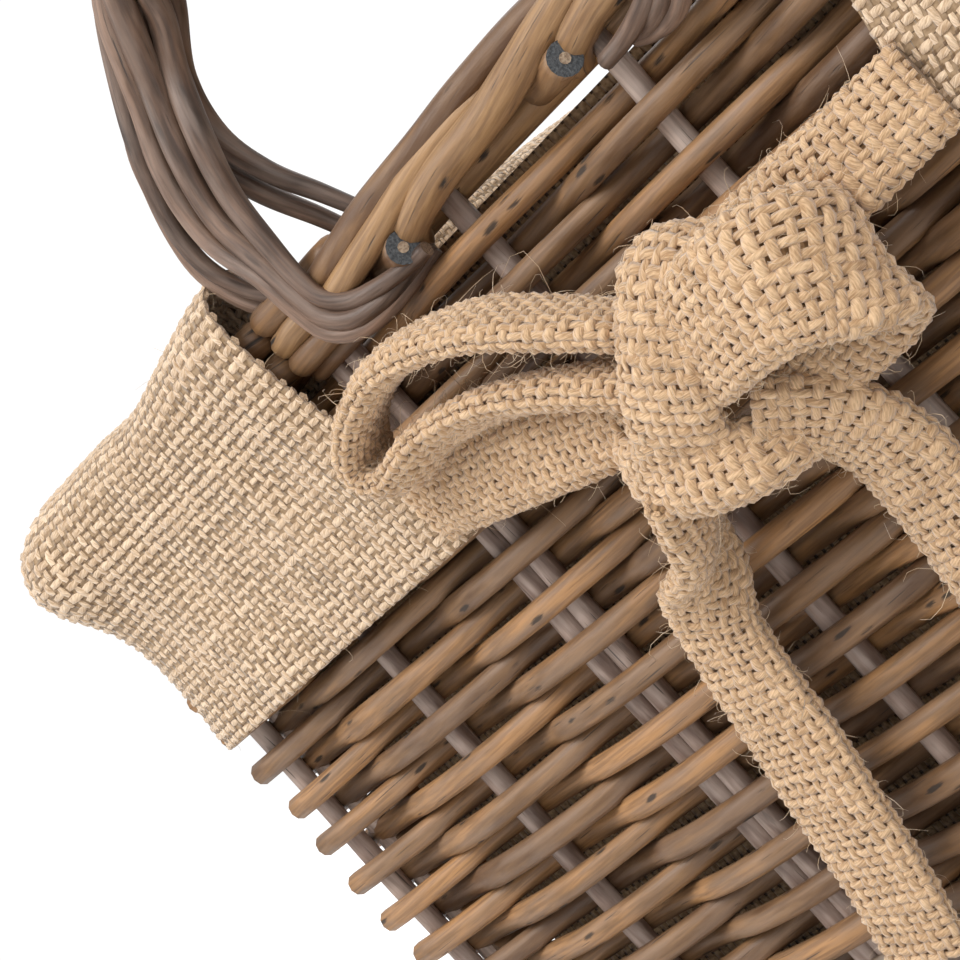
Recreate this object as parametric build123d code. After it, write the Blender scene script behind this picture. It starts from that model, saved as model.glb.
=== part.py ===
from build123d import *
import math
import os

os.makedirs("parts", exist_ok=True)

# Rectangular willow basket with two side handles and a tied hessian lining.
# Millimetres, +Z up, origin at the centre of the underside.

# ---- driving dimensions -------------------------------------------------
PANEL_X = 133.0          # corner stakes of the long walls, |x|
PANEL_Y = 95.0           # stake plane of the long walls, |y|
STAKE_PITCH = 38.0       # between the stakes of a long wall
STAKE_COUNT = 8          # stakes in a long wall
END_STAKES = (-83.0, -49.8, -16.6, 16.6, 49.8, 83.0)   # y of the end-wall stakes
STAKE_R = 2.0
WALL_HALF = 6.0          # half thickness of the weave over its stakes
WALL_END = 139.0         # cut ends of the weave past the corner stake
WALE_TOP = 13.5          # height of the foot wale
WEAVE_TOP = 133.0        # top of the close weave
BORDER_Z = (140.1, 146.6)   # rod centres of the border
BORDER_OFF = 3.1         # border rods either side of the stake plane
BORDER_R = 3.1
STAKE_BASE = 3.0
STAKE_TOP = 143.0
BASE_T = 9.0             # thickness of the woven base
BASE_STICK_R = 3.0

HANDLE_R = 58.5          # centreline radius of a handle arch
HANDLE_Z = 150.0         # springing line of the arch
CORE_R = 2.2
ROPE_R = 6.6
LEG_END = 60.0           # lower end of the handle core in the weave
DOUBLED_STAKE = 54.1     # stake that stands beside the handle core, |x|
HOOK_R = 1.7
HOOK_X = (48.8, 45.2, 41.6, 38.0)

CLOTH = 1.5              # lining thickness
FLOOR_Z = 9.3
LIN_X = 126.3            # outside of the lining, |x|
LIN_Y = 87.8             # outside of the lining, |y|
CUFF_IN = 66.0           # where the cuff stops beside a handle, |x|
SKIRT_IN = 63.5
CUFF_TOP = 152.4
CUFF_UNDER = 150.5
SKIRT_LOW = 102.0
SKIRT_X = (140.0, 143.6)
SKIRT_Y = (102.0, 105.6)
TIE_Y = (105.6, 108.4)
TAIL_Y = (105.7, 108.4)


def block(x0, x1, y0, y1, z0, z1):
    """Axis-aligned block between the given limits."""
    size = Box(x1 - x0, y1 - y0, z1 - z0)
    return Pos((x0 + x1) / 2, (y0 + y1) / 2, (z0 + z1) / 2) * size


def rod_z(x, y, z0, z1, r):
    """Upright round rod."""
    return Pos(x, y, (z0 + z1) / 2) * Cylinder(r, z1 - z0)


def rod_x(y, z, x0, x1, r):
    """Round rod along X."""
    return Pos((x0 + x1) / 2, y, z) * Rot(0, 90, 0) * Cylinder(r, x1 - x0)


def rod_y(x, z, y0, y1, r):
    """Round rod along Y."""
    return Pos(x, (y0 + y1) / 2, z) * Rot(90, 0, 0) * Cylinder(r, y1 - y0)


def panel_xz(points, y0, y1):
    """Flat panel with an outline in X and Z, between y0 and y1."""
    face = make_face(Polyline(*[(x, 0, z) for x, z in points], close=True))
    solid = extrude(face, amount=y1 - y0, dir=(0, 1, 0))
    return Pos(0, y0, 0) * solid


def cut_all(solid, tools):
    """Cut each tool from the solid."""
    for tool in tools:
        solid = solid - tool
    return solid


def turned(shape):
    """The same shape on the opposite side of the basket."""
    return Rot(0, 0, 180) * shape


def save(node, shape):
    """Write one named part."""
    solids = list(shape.solids()) if not isinstance(shape, list) else []
    if isinstance(shape, list):
        for one in shape:
            solids.extend(one.solids())
    out = solids[0] if len(solids) == 1 else Compound(children=solids)
    out.label = node
    export_step(out, "parts/" + node + ".step")


# ---- stakes -------------------------------------------------------------
def long_wall_x():
    """Stake positions of a long wall, with the doubled pair moved over."""
    places = []
    for i in range(STAKE_COUNT):
        x = -PANEL_X + i * STAKE_PITCH
        if abs(abs(x) - 57.0) < 0.5:
            x = math.copysign(DOUBLED_STAKE, x)
        places.append(x)
    return places


def long_stakes():
    """Stakes of the front wall."""
    return [rod_z(x, -PANEL_Y, STAKE_BASE, STAKE_TOP, STAKE_R) for x in long_wall_x()]


def end_stakes():
    """Stakes of the left end wall."""
    return [rod_z(-PANEL_X, y, STAKE_BASE, STAKE_TOP, STAKE_R) for y in END_STAKES]


def handle_legs():
    """Straight ends of the front handle's core."""
    legs = []
    for side in (-1, 1):
        legs.append(rod_z(side * HANDLE_R, -PANEL_Y, LEG_END, HANDLE_Z, CORE_R))
    return legs


front_stakes = long_stakes()
left_stakes = end_stakes()
legs = handle_legs()

save("front_stakes", front_stakes)
save("back_stakes", [turned(s) for s in front_stakes])
save("left_stakes", left_stakes)
save("right_stakes", [turned(s) for s in left_stakes])

# ---- woven walls and foot wale ------------------------------------------
wall_in = PANEL_Y - WALL_HALF
end_in = PANEL_X - WALL_HALF

front_wall = block(-WALL_END, WALL_END, -PANEL_Y - WALL_HALF, -wall_in, WALE_TOP, WEAVE_TOP)
front_wall = cut_all(front_wall, front_stakes + legs)
save("front_wall_weave", front_wall)
save("back_wall_weave", turned(front_wall))

left_wall = block(-WALL_END, -end_in, -wall_in + 0.2, wall_in - 0.2, WALE_TOP, WEAVE_TOP)
left_wall = cut_all(left_wall, left_stakes)
save("left_wall_weave", left_wall)
save("right_wall_weave", turned(left_wall))

front_wale = block(-WALL_END, WALL_END, -PANEL_Y - WALL_HALF, -wall_in + 0.2, 0, WALE_TOP)
front_wale = cut_all(front_wale, front_stakes)
save("front_foot_wale", front_wale)
save("back_foot_wale", turned(front_wale))

left_wale = block(-WALL_END, -end_in, -wall_in + 0.2, wall_in - 0.2, 0, WALE_TOP)
left_wale = cut_all(left_wale, left_stakes)
save("left_foot_wale", left_wale)
save("right_foot_wale", turned(left_wale))

# ---- base ---------------------------------------------------------------
sticks = [rod_x(y, BASE_T / 2, -end_in, end_in, BASE_STICK_R) for y in range(-75, 76, 25)]
base = block(-end_in, end_in, -wall_in + 0.2, wall_in - 0.2, 0, BASE_T)
base = cut_all(base, sticks)
save("base_weave", base)
save("base_sticks", sticks)

# ---- border -------------------------------------------------------------
front_border = []
for z in BORDER_Z:
    for off in (-BORDER_OFF, BORDER_OFF):
        rod = rod_x(-PANEL_Y + off, z, -136.0, 136.0, BORDER_R)
        front_border.append(cut_all(rod, front_stakes + legs))
save("front_border", front_border)
save("back_border", [turned(r) for r in front_border])

side_end = PANEL_Y - BORDER_OFF - BORDER_R
left_border = []
for z in BORDER_Z:
    for off in (-BORDER_OFF, BORDER_OFF):
        rod = rod_y(-PANEL_X + off, z, -side_end, side_end, BORDER_R)
        left_border.append(cut_all(rod, left_stakes))
save("left_border", left_border)
save("right_border", [turned(r) for r in left_border])


# ---- handles ------------------------------------------------------------
def arch(radius):
    """Half-round bar over the front wall."""
    ring = Pos(0, -PANEL_Y, HANDLE_Z) * Rot(90, 0, 0) * Torus(HANDLE_R, radius)
    reach = HANDLE_R + radius + 1.0
    upper = block(-reach, reach, -PANEL_Y - radius - 1, -PANEL_Y + radius + 1, HANDLE_Z, HANDLE_Z + reach)
    return ring & upper


core_arch = arch(CORE_R)
core = core_arch + legs[0] + legs[1]
save("front_handle_core", core)
save("back_handle_core", turned(core))

rope = arch(ROPE_R) - core_arch
save("front_handle_wrap", rope)
save("back_handle_wrap", turned(rope))


def hook(side, x, index):
    """One wrapping strand, from the rope down round the border and in below it."""
    start = side * (57.0 - 1.6 * index)
    points = [
        (start, -103.6, 166.0),
        (side * (x + 1.0), -103.6, 150.0),
        (side * x, -103.4, 141.0),
        (side * (x - 0.5), -102.1, 136.9),
        (side * (x - 1.2), -98.6, 135.1),
        (side * (x - 2.5), -90.5, 135.0),
    ]
    path = Spline(*points)
    return sweep((path ^ 0) * Circle(HOOK_R), path=path)


left_hooks = [hook(-1, x, i) for i, x in enumerate(HOOK_X)]
right_hooks = [hook(1, x, i) for i, x in enumerate(HOOK_X)]
save("front_left_foot_wrap", left_hooks)
save("front_right_foot_wrap", right_hooks)
save("back_right_foot_wrap", [turned(h) for h in left_hooks])
save("back_left_foot_wrap", [turned(h) for h in right_hooks])

# ---- lining -------------------------------------------------------------
lin_in_x = LIN_X - CLOTH
lin_in_y = LIN_Y - CLOTH
save("lining_floor", block(-LIN_X, LIN_X, -LIN_Y, LIN_Y, FLOOR_Z, FLOOR_Z + CLOTH))

wall_low = FLOOR_Z + CLOTH
outline = [(-LIN_X, wall_low), (LIN_X, wall_low), (LIN_X, CUFF_UNDER), (CUFF_IN, CUFF_UNDER)]
outline += [(CUFF_IN, WEAVE_TOP), (-CUFF_IN, WEAVE_TOP)]
outline += [(-CUFF_IN, CUFF_UNDER), (-LIN_X, CUFF_UNDER)]
lining_front = panel_xz(outline, -LIN_Y, -lin_in_y)
save("lining_front", lining_front)
save("lining_back", turned(lining_front))
lining_left = block(-LIN_X, -lin_in_x, -lin_in_y, lin_in_y, wall_low, CUFF_UNDER)
save("lining_left", lining_left)
save("lining_right", turned(lining_left))

# turned-down cuff at each end of the basket
front_cuff = block(-SKIRT_X[1], -CUFF_IN, -SKIRT_Y[1], -lin_in_y, CUFF_UNDER, CUFF_TOP)
front_skirt = block(-SKIRT_X[1], -SKIRT_IN, -SKIRT_Y[1], -SKIRT_Y[0], SKIRT_LOW, CUFF_UNDER)
end_cuff = block(-SKIRT_X[1], -lin_in_x, -lin_in_y, lin_in_y, CUFF_UNDER, CUFF_TOP)
end_skirt = block(-SKIRT_X[1], -SKIRT_X[0], -SKIRT_Y[0], SKIRT_Y[0], SKIRT_LOW, CUFF_UNDER)
back_cuff = mirror(front_cuff, about=Plane.XZ)
back_skirt = mirror(front_skirt, about=Plane.XZ)
save("left_front_rim_cover", front_cuff)
save("left_front_skirt", front_skirt)
save("left_end_rim_cover", end_cuff)
save("left_end_skirt", end_skirt)
save("left_back_rim_cover", back_cuff)
save("left_back_skirt", back_skirt)
save("right_back_rim_cover", turned(front_cuff))
save("right_back_skirt", turned(front_skirt))
save("right_end_rim_cover", turned(end_cuff))
save("right_end_skirt", turned(end_skirt))
save("right_front_rim_cover", turned(back_cuff))
save("right_front_skirt", turned(back_skirt))

# ---- bows ---------------------------------------------------------------
left_tie = panel_xz([(-74, 103), (-74, 119), (-2, 108), (-2, 94)], -TIE_Y[1], -TIE_Y[0])
right_tie = panel_xz([(74, 102), (74, 118), (19, 113), (19, 99)], -TIE_Y[1], -TIE_Y[0])
knot = block(-3, 18, -126, -TIE_Y[1], 86, 113)
knot = fillet(knot.edges(), 5)
right_loop = block(18, 48, -136, -TIE_Y[1], 82, 112)
right_loop = fillet(right_loop.edges(), 7)
loop_line = [(-3.2, 98), (-3.2, 112), (-15, 126), (-43, 128), (-51, 121), (-44, 112), (-24, 104)]
left_loop = panel_xz(loop_line, -119, -TIE_Y[1])
tail_line = [(-3, 87), (-15, 92), (-29, 74), (-36, 55), (-42, 17), (-30, 14), (-22, 54), (-13, 72)]
left_tail = panel_xz(tail_line, -TAIL_Y[1], -TAIL_Y[0])
tail_line = [(10, 90), (24, 90), (23, 66), (22, 30), (10, 30), (11, 54)]
right_tail = panel_xz(tail_line, -TAIL_Y[1], -TAIL_Y[0])

bow = {
    "left_tie": left_tie,
    "right_tie": right_tie,
    "knot": knot,
    "left_loop": left_loop,
    "right_loop": right_loop,
    "left_tail": left_tail,
    "right_tail": right_tail,
}
for name, shape in bow.items():
    save("front_bow_" + name, shape)
    save("back_bow_" + name, turned(shape))
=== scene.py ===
"""Lined willow basket: woven rods, twisted handles, hessian cuffs and bows.

Lengths in the classes are millimetres in the basket's own frame; meshes are written in metres.
"""
import logging
import math
from dataclasses import dataclass
from enum import Enum
from typing import List, Optional, Sequence, Tuple

import bmesh
import bpy
import numpy as np
from mathutils import Matrix, Vector


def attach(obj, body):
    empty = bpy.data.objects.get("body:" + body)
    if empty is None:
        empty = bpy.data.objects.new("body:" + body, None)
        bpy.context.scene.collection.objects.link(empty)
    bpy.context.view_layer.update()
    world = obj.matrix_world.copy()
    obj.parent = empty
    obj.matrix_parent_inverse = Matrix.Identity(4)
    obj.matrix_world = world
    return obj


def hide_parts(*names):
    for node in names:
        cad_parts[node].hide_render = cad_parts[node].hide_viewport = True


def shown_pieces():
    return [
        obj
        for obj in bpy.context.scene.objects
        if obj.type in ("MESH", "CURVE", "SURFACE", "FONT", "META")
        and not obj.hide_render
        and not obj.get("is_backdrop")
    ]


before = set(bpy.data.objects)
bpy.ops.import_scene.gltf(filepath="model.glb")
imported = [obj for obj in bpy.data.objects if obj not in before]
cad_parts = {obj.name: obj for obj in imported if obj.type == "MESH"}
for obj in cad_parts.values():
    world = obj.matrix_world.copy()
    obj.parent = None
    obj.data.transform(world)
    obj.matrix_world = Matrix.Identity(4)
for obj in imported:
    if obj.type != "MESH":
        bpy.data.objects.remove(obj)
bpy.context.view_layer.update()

LOG = logging.getLogger("basket")
MM = 0.001
Array = np.ndarray
Color = Tuple[float, float, float]


class Body(Enum):
    """The two bodies that pieces ride on."""

    BASKET = "basket"
    LINING = "lining"


class Slot(Enum):
    """Material slots of the record."""

    WEAVE = "willow_weave"
    STAKES = "willow_stakes"
    BORDER = "willow_border"
    HANDLE = "willow_handle"
    WALE = "willow_wale"
    HESSIAN = "hessian"
    BOW = "bow_hessian"


class Side(Enum):
    """Long sides of the basket; the back is the front turned half round."""

    FRONT = 1.0
    BACK = -1.0


# ------------------------------------------------------------------ helpers
def unit(vectors: Array) -> Array:
    """Return the vectors at length one."""
    size = np.linalg.norm(vectors, axis=-1, keepdims=True)
    return vectors / np.maximum(size, 1e-9)


def smooth_path(points: Sequence[Sequence[float]], count: int) -> Array:
    """Pass a smooth line through points.

    Args:
        points: control points, any number of columns.
        count: number of samples, evenly spaced along the line.

    Returns:
        The samples as rows.
    """
    pts = np.asarray(points, float)
    ext = np.vstack([2 * pts[0] - pts[1], pts, 2 * pts[-1] - pts[-2]])
    fine = []
    steps = np.linspace(0, 1, 24, endpoint=False)[:, None]
    for i in range(len(pts) - 1):
        a, b, c, d = ext[i:i + 4]
        fine.append(0.5 * (2 * b + (c - a) * steps + (2 * a - 5 * b + 4 * c - d) * steps ** 2
                           + (3 * b - a - 3 * c + d) * steps ** 3))
    line = np.vstack(fine + [pts[-1:]])
    run = np.concatenate([[0], np.cumsum(np.linalg.norm(np.diff(line[:, :3], axis=0), axis=1))])
    want = np.linspace(0, run[-1], count)
    return np.stack([np.interp(want, run, line[:, k]) for k in range(line.shape[1])], axis=1)


def wander(rng: np.random.Generator, count: int, size: float, knots: int) -> Array:
    """Return a slow random drift of the given size.

    Args:
        rng: seeded generator.
        count: number of samples.
        size: largest typical offset.
        knots: number of independent values along the way.

    Returns:
        One offset per sample.
    """
    values = rng.uniform(-size, size, knots + 3)
    at = np.linspace(0, knots, count)
    low = np.floor(at).astype(int)
    part = (1 - np.cos(np.pi * (at - low))) / 2
    return values[low] * (1 - part) + values[low + 1] * part


def turn_half(points: Array) -> Array:
    """Turn points half round about the vertical axis."""
    return points * np.array([-1.0, -1.0, 1.0])


# ------------------------------------------------------------------- tubes
@dataclass
class Tube:
    """One round rod, strand, yarn or fibre.

    Attributes:
        line: centre points as rows.
        across: half width at each point.
        deep: half depth at each point.
        normal: direction of the depth at each point.
        tint: colour drift of this tube, 0 to 1.
        twist: turns of the grain per millimetre.
    """

    line: Array
    across: Array
    deep: Array
    normal: Array
    tint: float = 0.5
    twist: float = 0.0


def rod(line: Array, radius: float, rng: np.random.Generator, taper: float = 0.0,
        uneven: float = 0.06, normal: Tuple[float, float, float] = (0.13, 0.31, 0.94)) -> Tube:
    """Make a slightly uneven round rod along a line.

    Args:
        line: centre line as rows.
        radius: mean radius.
        rng: seeded generator.
        taper: share of the radius lost from end to end.
        uneven: share by which the radius wanders.
        normal: direction that fixes the turn of the section.

    Returns:
        The tube.
    """
    count = len(line)
    size = radius * (1 + taper * np.linspace(-0.5, 0.5, count)) * (1 + wander(rng, count, uneven, 9))
    return Tube(line, size, size, np.tile(normal, (count, 1)), tint=float(rng.uniform(0, 1)), twist=0.004)


class TubeMesher:
    """Builds many tubes into one mesh from bmesh cylinders."""

    def __init__(self, sides: int, rings: int) -> None:
        """Prepare a capped cylinder with the given sides and rings.

        Args:
            sides: number of sides.
            rings: number of rings along the tube.
        """
        bm = bmesh.new()
        bmesh.ops.create_cone(bm, cap_ends=True, cap_tris=False, segments=sides, radius1=1.0,
                              radius2=1.0, depth=1.0)
        upright = [e for e in bm.edges if abs(e.verts[0].co.z - e.verts[1].co.z) > 0.5]
        if rings > 2:
            bmesh.ops.subdivide_edges(bm, edges=upright, cuts=rings - 2, use_grid_fill=False)
        for face in bm.faces:
            face.smooth = abs(face.normal.z) < 0.5
            face.material_index = 0 if face.smooth else 1
        self.rings = rings
        self.mesh = bpy.data.meshes.new("tube_pattern")
        bm.to_mesh(self.mesh)
        bm.free()
        flat = np.empty(len(self.mesh.vertices) * 3)
        self.mesh.vertices.foreach_get("co", flat)
        base = flat.reshape(-1, 3)
        self.ring = np.rint((base[:, 2] + 0.5) * (rings - 1)).astype(int)
        self.angle = np.arctan2(base[:, 1], base[:, 0])

    def build(self, name: str, tubes: Sequence[Tube]) -> bpy.types.Object:
        """Write the tubes as one object.

        Args:
            name: object name.
            tubes: every tube, each with as many points as the pattern has rings.

        Returns:
            The new object, at the origin.
        """
        bm = bmesh.new()
        for _ in tubes:
            bm.from_mesh(self.mesh)
        mesh = bpy.data.meshes.new(name)
        bm.to_mesh(mesh)
        bm.free()
        spots, grain, tints = [], [], []
        for tube in tubes:
            along = unit(np.gradient(tube.line, axis=0))
            up = unit(tube.normal - (tube.normal * along).sum(1, keepdims=True) * along)
            side = np.cross(up, along)
            run = np.concatenate([[0], np.cumsum(np.linalg.norm(np.diff(tube.line, axis=0), axis=1))])
            k = self.ring
            c, s = np.cos(self.angle)[:, None], np.sin(self.angle)[:, None]
            spots.append(tube.line[k] + side[k] * c * tube.across[k, None] + up[k] * s * tube.deep[k, None])
            turn = self.angle + run[k] * tube.twist * 2 * math.pi
            size = float(tube.across.mean())
            grain.append(np.stack([np.cos(turn) * size, np.sin(turn) * size, run[k] + tube.tint * 997], 1))
            tints.append(np.full(len(k), tube.tint))
        mesh.vertices.foreach_set("co", (np.vstack(spots) * MM).ravel())
        mesh.attributes.new("grain", "FLOAT_VECTOR", "POINT").data.foreach_set("vector",
                                                                               np.vstack(grain).ravel())
        mesh.attributes.new("tint", "FLOAT", "POINT").data.foreach_set("value", np.concatenate(tints))
        mesh.update()
        piece = bpy.data.objects.new(name, mesh)
        bpy.context.scene.collection.objects.link(piece)
        return piece


def place(piece: bpy.types.Object, body: Body, materials: Sequence[bpy.types.Material],
          nodes: Sequence[str] = ()) -> bpy.types.Object:
    """Dress a piece and fix it to its body.

    Args:
        piece: the finished object.
        body: body that it rides on.
        materials: its materials, in slot order.
        nodes: CAD nodes that it stands for.

    Returns:
        The same object.
    """
    for material in materials:
        piece.data.materials.append(material)
    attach(piece, body.value)
    if nodes:
        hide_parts(*nodes)
    LOG.info("%s: %d faces", piece.name, len(piece.data.polygons))
    return piece


# --------------------------------------------------------------- materials
class Graph:
    """Short-hand for adding nodes and links to a node tree."""

    def __init__(self, tree: bpy.types.NodeTree) -> None:
        """Hold the tree."""
        self.tree = tree

    def node(self, kind: str, **values: object) -> bpy.types.Node:
        """Add a node and set each given value as an attribute of it."""
        made = self.tree.nodes.new(kind)
        for key, value in values.items():
            setattr(made, key, value)
        return made

    def link(self, source: bpy.types.NodeSocket, target: bpy.types.NodeSocket) -> None:
        """Join two sockets.

        Args:
            source: socket that gives the value.
            target: socket that takes it.
        """
        self.tree.links.new(source, target)

    def feed(self, target: bpy.types.NodeSocket, value: object) -> None:
        """Set a socket from a value or another socket.

        Args:
            target: socket to set.
            value: a plain value or another socket.
        """
        if isinstance(value, bpy.types.NodeSocket):
            self.link(value, target)
        else:
            target.default_value = value

    def math(self, operation: str, a: object, b: object = 0.0, clamp: bool = False) -> bpy.types.NodeSocket:
        """Add a Math node and return its result.

        Args:
            operation: name of the operation.
            a: first value or socket.
            b: second value or socket.
            clamp: true to hold the result in 0 to 1.

        Returns:
            The result socket.
        """
        made = self.node("ShaderNodeMath", operation=operation, use_clamp=clamp)
        self.feed(made.inputs[0], a)
        self.feed(made.inputs[1], b)
        return made.outputs[0]

    def mix(self, factor: object, a: object, b: object, blend: str = "MIX") -> bpy.types.NodeSocket:
        """Mix two colours and return the result.

        Args:
            factor: share of the second colour.
            a: first colour.
            b: second colour.
            blend: blend type.

        Returns:
            The result socket.
        """
        made = self.node("ShaderNodeMix", data_type="RGBA", blend_type=blend)
        self.feed(made.inputs[0], factor)
        self.feed(made.inputs[6], a)
        self.feed(made.inputs[7], b)
        return made.outputs[2]

    def noise(self, vector: bpy.types.NodeSocket, scale: float, detail: float = 3.0,
              stretch: Tuple[float, float, float] = (1, 1, 1)) -> bpy.types.NodeSocket:
        """Add noise on a stretched vector and return its value.

        Args:
            vector: coordinates.
            scale: noise scale.
            detail: levels of detail.
            stretch: scale of each axis first.

        Returns:
            The value socket.
        """
        mapping = self.node("ShaderNodeMapping")
        mapping.inputs["Scale"].default_value = stretch
        self.link(vector, mapping.inputs["Vector"])
        made = self.node("ShaderNodeTexNoise")
        made.inputs["Scale"].default_value = scale
        made.inputs["Detail"].default_value = detail
        self.link(mapping.outputs[0], made.inputs["Vector"])
        return made.outputs["Fac"]

    def ramp(self, value: bpy.types.NodeSocket, low: float, high: float) -> bpy.types.NodeSocket:
        """Stretch a value so that low becomes 0 and high becomes 1.

        Args:
            value: socket to stretch.
            low: value that becomes 0.
            high: value that becomes 1.

        Returns:
            The result socket.
        """
        made = self.node("ShaderNodeMapRange", interpolation_type="SMOOTHSTEP")
        self.link(value, made.inputs["Value"])
        made.inputs["From Min"].default_value = low
        made.inputs["From Max"].default_value = high
        return made.outputs[0]


def new_group(name: str, inputs: Sequence[Tuple[str, str]], outputs: Sequence[Tuple[str, str]]
              ) -> Tuple[Graph, bpy.types.Node, bpy.types.Node]:
    """Start a shader node group with named sockets.

    Args:
        name: group name.
        inputs: name and kind of each input.
        outputs: name and kind of each output.

    Returns:
        The group's graph, its input node and its output node.
    """
    tree = bpy.data.node_groups.new(name, "ShaderNodeTree")
    for title, kind in inputs:
        tree.interface.new_socket(name=title, in_out="INPUT", socket_type=kind)
    for title, kind in outputs:
        tree.interface.new_socket(name=title, in_out="OUTPUT", socket_type=kind)
    graph = Graph(tree)
    return graph, graph.node("NodeGroupInput"), graph.node("NodeGroupOutput")


def willow_group() -> bpy.types.NodeTree:
    """Build the group for steamed, grey-washed willow bark."""
    floats = "NodeSocketFloat"
    colours = "NodeSocketColor"
    graph, given, out = new_group(
        "WillowBark",
        [("Grain", "NodeSocketVector"), ("Tint", floats), ("Dark", colours), ("Mid", colours),
         ("Light", colours), ("Wash", colours), ("Wash Amount", floats), ("Buds", floats)],
        [("Color", colours), ("Roughness", floats), ("Height", floats)])
    grain = given.outputs["Grain"]
    streak = graph.noise(grain, 1.6, 4.0, (1.0, 1.0, 0.06))
    fine = graph.noise(grain, 5.0, 3.0, (1.0, 1.0, 0.12))
    patch = graph.noise(grain, 0.35, 3.0, (1.0, 1.0, 0.22))
    tone = graph.math("MULTIPLY_ADD", given.outputs["Tint"], 0.55)
    tone_node = tone.node
    tone_node.inputs[2].default_value = 0.0
    tone = graph.math("ADD", tone, graph.math("MULTIPLY", patch, 0.75))
    tone = graph.ramp(tone, 0.22, 0.95)
    base = graph.mix(graph.ramp(tone, 0.0, 0.55), given.outputs["Dark"], given.outputs["Mid"])
    base = graph.mix(graph.ramp(tone, 0.5, 1.0), base, given.outputs["Light"])
    base = graph.mix(graph.math("MULTIPLY", graph.ramp(streak, 0.62, 0.35), 0.5), base,
                     given.outputs["Dark"])
    film = graph.ramp(graph.noise(grain, 0.5, 4.0, (1.0, 1.0, 0.16)), 0.36, 0.68)
    film = graph.math("MULTIPLY", film, given.outputs["Wash Amount"])
    base = graph.mix(film, base, given.outputs["Wash"])
    scar = graph.node("ShaderNodeTexVoronoi", feature="F1")
    squash = graph.node("ShaderNodeMapping")
    squash.inputs["Scale"].default_value = (0.3, 0.3, 0.075)
    graph.link(grain, squash.inputs["Vector"])
    graph.link(squash.outputs[0], scar.inputs["Vector"])
    scar.inputs["Scale"].default_value = 1.0
    ragged = graph.math("ADD", scar.outputs["Distance"], graph.math("MULTIPLY", fine, 0.14))
    bud = graph.math("MULTIPLY", graph.ramp(ragged, 0.235, 0.15), given.outputs["Buds"])
    base = graph.mix(bud, base, (0.03, 0.022, 0.017, 1))
    # Thin near-black lines along the grain, also cut in as grooves: partly bark cracks, partly painted shade
    # that stands for the dark slits between the twisted handle strands.
    crack_and_slit_shade = graph.ramp(graph.noise(grain, 2.4, 2.0, (1.0, 1.0, 0.03)), 0.315, 0.27)
    base = graph.mix(graph.math("MULTIPLY", crack_and_slit_shade, 0.75), base, (0.04, 0.03, 0.025, 1))
    graph.link(base, out.inputs["Color"])
    rough = graph.math("ADD", 0.36, graph.math("MULTIPLY", patch, 0.3))
    graph.link(graph.math("ADD", rough, graph.math("MULTIPLY", bud, 0.3)), out.inputs["Roughness"])
    height = graph.math("ADD", graph.math("MULTIPLY", streak, 0.5), graph.math("MULTIPLY", fine, 0.22))
    height = graph.math("SUBTRACT", height, graph.math("MULTIPLY", bud, 0.5))
    graph.link(graph.math("SUBTRACT", height, graph.math("MULTIPLY", crack_and_slit_shade, 0.5)), out.inputs["Height"])
    return graph.tree


def jute_group() -> bpy.types.NodeTree:
    """Build the group for twisted jute fibre."""
    floats = "NodeSocketFloat"
    colours = "NodeSocketColor"
    graph, given, out = new_group(
        "JuteFibre",
        [("Grain", "NodeSocketVector"), ("Tint", floats), ("Dark", colours), ("Light", colours)],
        [("Color", colours), ("Height", floats)])
    grain = given.outputs["Grain"]
    fibre = graph.noise(grain, 4.2, 4.0, (1.0, 1.0, 0.17))
    slub = graph.noise(grain, 0.35, 3.0, (1.0, 1.0, 0.5))
    tone = graph.math("ADD", graph.math("MULTIPLY", fibre, 1.5), graph.math("MULTIPLY", slub, 0.45))
    tone = graph.math("ADD", tone, graph.math("MULTIPLY", given.outputs["Tint"], 0.16))
    base = graph.mix(graph.ramp(tone, 0.66, 1.45), given.outputs["Dark"], given.outputs["Light"])
    graph.link(base, out.inputs["Color"])
    graph.link(fibre, out.inputs["Height"])
    return graph.tree


@dataclass(frozen=True)
class WillowFinish:
    """Colours of one kind of willow rod."""

    name: str
    dark: Color
    mid: Color
    light: Color
    wash: Color
    wash_amount: float
    buds: float = 0.9
    coat: float = 0.12

    def make(self, group: bpy.types.NodeTree) -> bpy.types.Material:
        """Build the material on the shared bark group."""
        material = bpy.data.materials.new(self.name)
        material.use_nodes = True
        graph = Graph(material.node_tree)
        shader = material.node_tree.nodes["Principled BSDF"]
        bark = graph.node("ShaderNodeGroup")
        bark.node_tree = group
        graph.link(graph.node("ShaderNodeAttribute", attribute_name="grain").outputs["Vector"],
                   bark.inputs["Grain"])
        graph.link(graph.node("ShaderNodeAttribute", attribute_name="tint").outputs["Fac"],
                   bark.inputs["Tint"])
        for title, value in (("Dark", self.dark), ("Mid", self.mid), ("Light", self.light),
                             ("Wash", self.wash)):
            bark.inputs[title].default_value = (*value, 1)
        bark.inputs["Wash Amount"].default_value = self.wash_amount
        bark.inputs["Buds"].default_value = self.buds
        graph.link(bark.outputs["Color"], shader.inputs["Base Color"])
        graph.link(bark.outputs["Roughness"], shader.inputs["Roughness"])
        bump = graph.node("ShaderNodeBump")
        bump.inputs["Strength"].default_value = 0.55
        bump.inputs["Distance"].default_value = 0.00035
        graph.link(bark.outputs["Height"], bump.inputs["Height"])
        graph.link(bump.outputs[0], shader.inputs["Normal"])
        shader.inputs["Coat Weight"].default_value = self.coat
        shader.inputs["Coat Roughness"].default_value = 0.35
        shader.inputs["Specular IOR Level"].default_value = 0.45
        return material


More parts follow.
